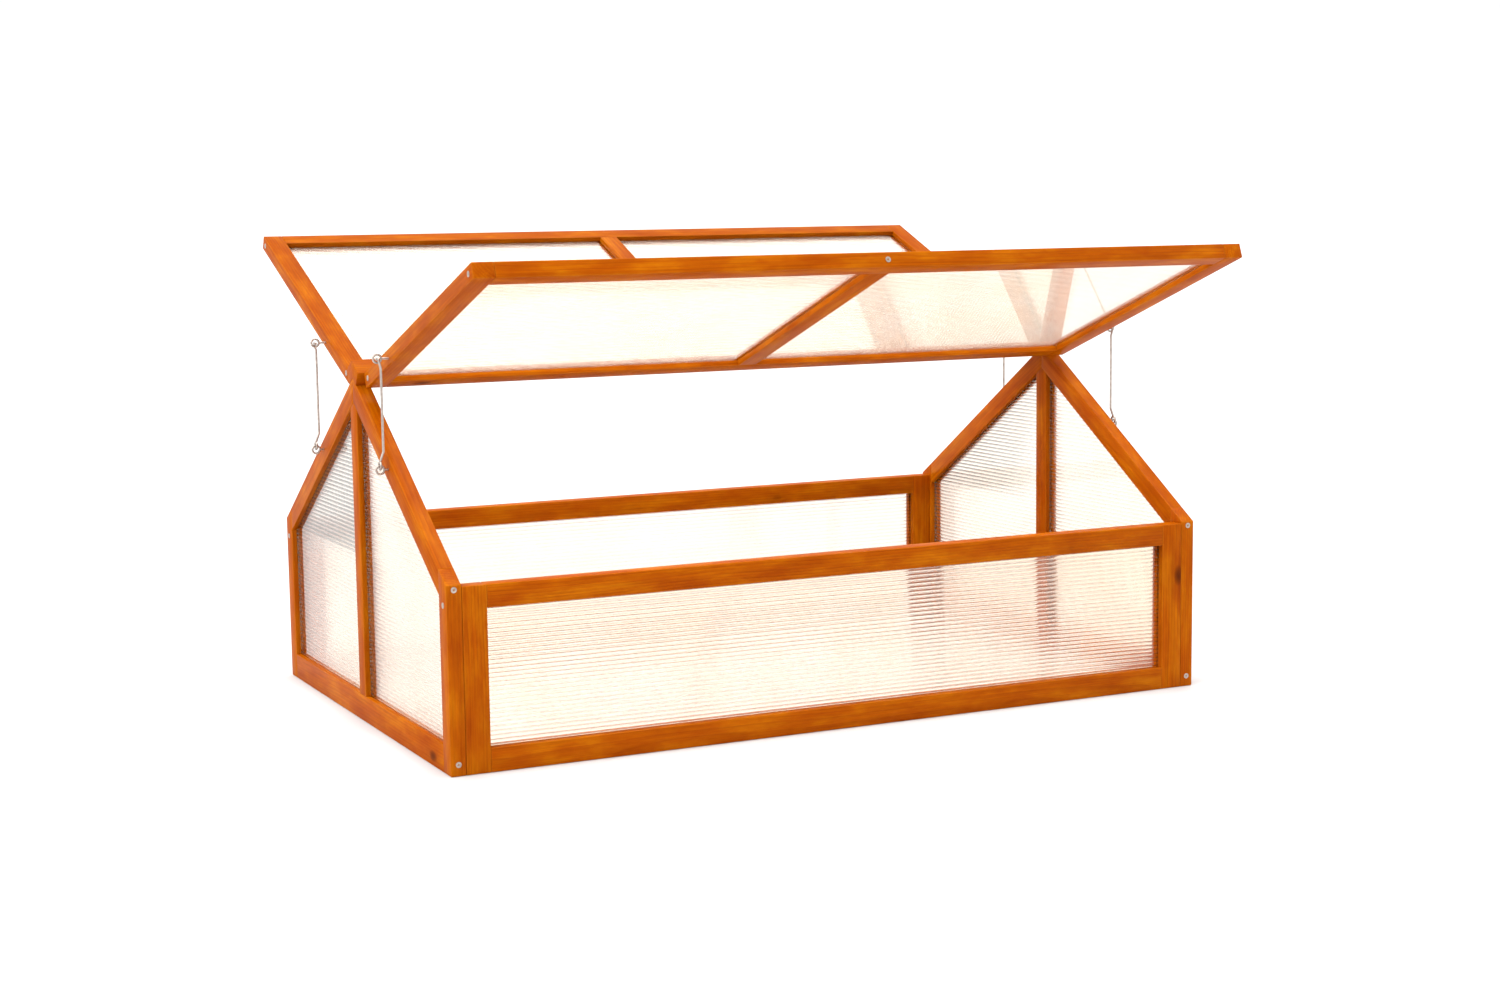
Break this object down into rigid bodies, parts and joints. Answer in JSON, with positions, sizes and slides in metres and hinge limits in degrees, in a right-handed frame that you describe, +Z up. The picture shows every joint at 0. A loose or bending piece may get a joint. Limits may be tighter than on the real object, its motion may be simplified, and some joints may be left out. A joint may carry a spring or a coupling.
{
  "type": "cold frame",
  "caption": "Low timber cold frame with pitched gable ends, twin-wall clear sheets and lids hinged along the ridge that are held open by wire stays.",
  "frame": {"origin": "on the ground, under the middle of the box that the whole frame fills with its lids open at rest; 3.4 mm in front of the middle of the base", "axes": "+X along the length to the right seen from the front, +Y from the front to the rear, +Z up; the lids are open at rest"},
  "size_m": [1.0322, 0.8428, 0.5857],
  "materials": {
    "stained_wood": "orange-brown translucent stain, satin",
    "glazing": "clear fluted twin-wall polycarbonate, glossy",
    "steel": "bright zinc-plated steel"
  },
  "bodies": {
    "base": {"left_post_front": "stained_wood", "left_post_rear": "stained_wood", "left_sill": "stained_wood", "left_rafter_front": "stained_wood", "left_rafter_rear": "stained_wood", "left_mullion": "stained_wood", "right_post_front": "stained_wood", "right_post_rear": "stained_wood", "right_sill": "stained_wood", "right_rafter_front": "stained_wood", "right_rafter_rear": "stained_wood", "right_mullion": "stained_wood", "front_stile_left": "stained_wood", "front_stile_right": "stained_wood", "front_top_rail": "stained_wood", "front_low_rail": "stained_wood", "rear_stile_left": "stained_wood", "rear_stile_right": "stained_wood", "rear_top_rail": "stained_wood", "rear_low_rail": "stained_wood", "ridge_beam": "stained_wood", "left_pane_front": "glazing", "left_pane_rear": "glazing", "right_pane_front": "glazing", "right_pane_rear": "glazing", "front_pane": "glazing", "rear_pane": "glazing", "hinge_leaves_fixed": "steel", "hinge_pins": "steel", "frame_eyes": "steel", "frame_screws": "steel"},
    "front_lid": {"front_lid_rail_left": "stained_wood", "front_lid_rail_right": "stained_wood", "front_lid_ridge_rail": "stained_wood", "front_lid_free_rail": "stained_wood", "front_lid_muntin": "stained_wood", "front_lid_pane_left": "glazing", "front_lid_pane_right": "glazing", "front_lid_hinge_leaves": "steel", "front_lid_screws": "steel", "front_lid_eyes": "steel"},
    "rear_lid": {"rear_lid_rail_left": "stained_wood", "rear_lid_rail_right": "stained_wood", "rear_lid_ridge_rail": "stained_wood", "rear_lid_free_rail": "stained_wood", "rear_lid_muntin": "stained_wood", "rear_lid_pane_left": "glazing", "rear_lid_pane_right": "glazing", "rear_lid_hinge_leaves": "steel", "rear_lid_screws": "steel", "rear_lid_eyes": "steel"},
    "stay_front_left": {"stay_front_left": "steel"},
    "stay_front_right": {"stay_front_right": "steel"},
    "stay_rear_left": {"stay_rear_left": "steel"},
    "stay_rear_right": {"stay_rear_right": "steel"}
  },
  "joints": [
    {"name": "front_lid_hinge", "type": "hinge", "parent": "base", "child": "front_lid", "pos_m": [0, -0.02253, 0.42603], "axis": [1, 0, 0], "range_deg": [0, 52.19]},
    {"name": "rear_lid_hinge", "type": "hinge", "parent": "base", "child": "rear_lid", "pos_m": [0, 0.02926, 0.42603], "axis": [-1, 0, 0], "range_deg": [0, 55.09]},
    {"name": "stay_front_left_pivot", "type": "hinge", "parent": "base", "child": "stay_front_left", "pos_m": [-0.51, -0.12963, 0.327], "axis": [1, 0, 0], "range_deg": [0, 155]},
    {"name": "stay_front_right_pivot", "type": "hinge", "parent": "base", "child": "stay_front_right", "pos_m": [0.51, -0.12963, 0.327], "axis": [1, 0, 0], "range_deg": [0, 155]},
    {"name": "stay_rear_left_pivot", "type": "hinge", "parent": "base", "child": "stay_rear_left", "pos_m": [-0.51, 0.13637, 0.327], "axis": [-1, 0, 0], "range_deg": [0, 155]},
    {"name": "stay_rear_right_pivot", "type": "hinge", "parent": "base", "child": "stay_rear_right", "pos_m": [0.51, 0.13637, 0.327], "axis": [-1, 0, 0], "range_deg": [0, 155]}
  ],
  "couplings": [
    {"joint": "stay_front_left_pivot", "follows": "front_lid_hinge", "ratio": 2.9696},
    {"joint": "stay_front_right_pivot", "follows": "front_lid_hinge", "ratio": 2.9696},
    {"joint": "stay_rear_left_pivot", "follows": "rear_lid_hinge", "ratio": 2.8133},
    {"joint": "stay_rear_right_pivot", "follows": "rear_lid_hinge", "ratio": 2.8133}
  ]
}
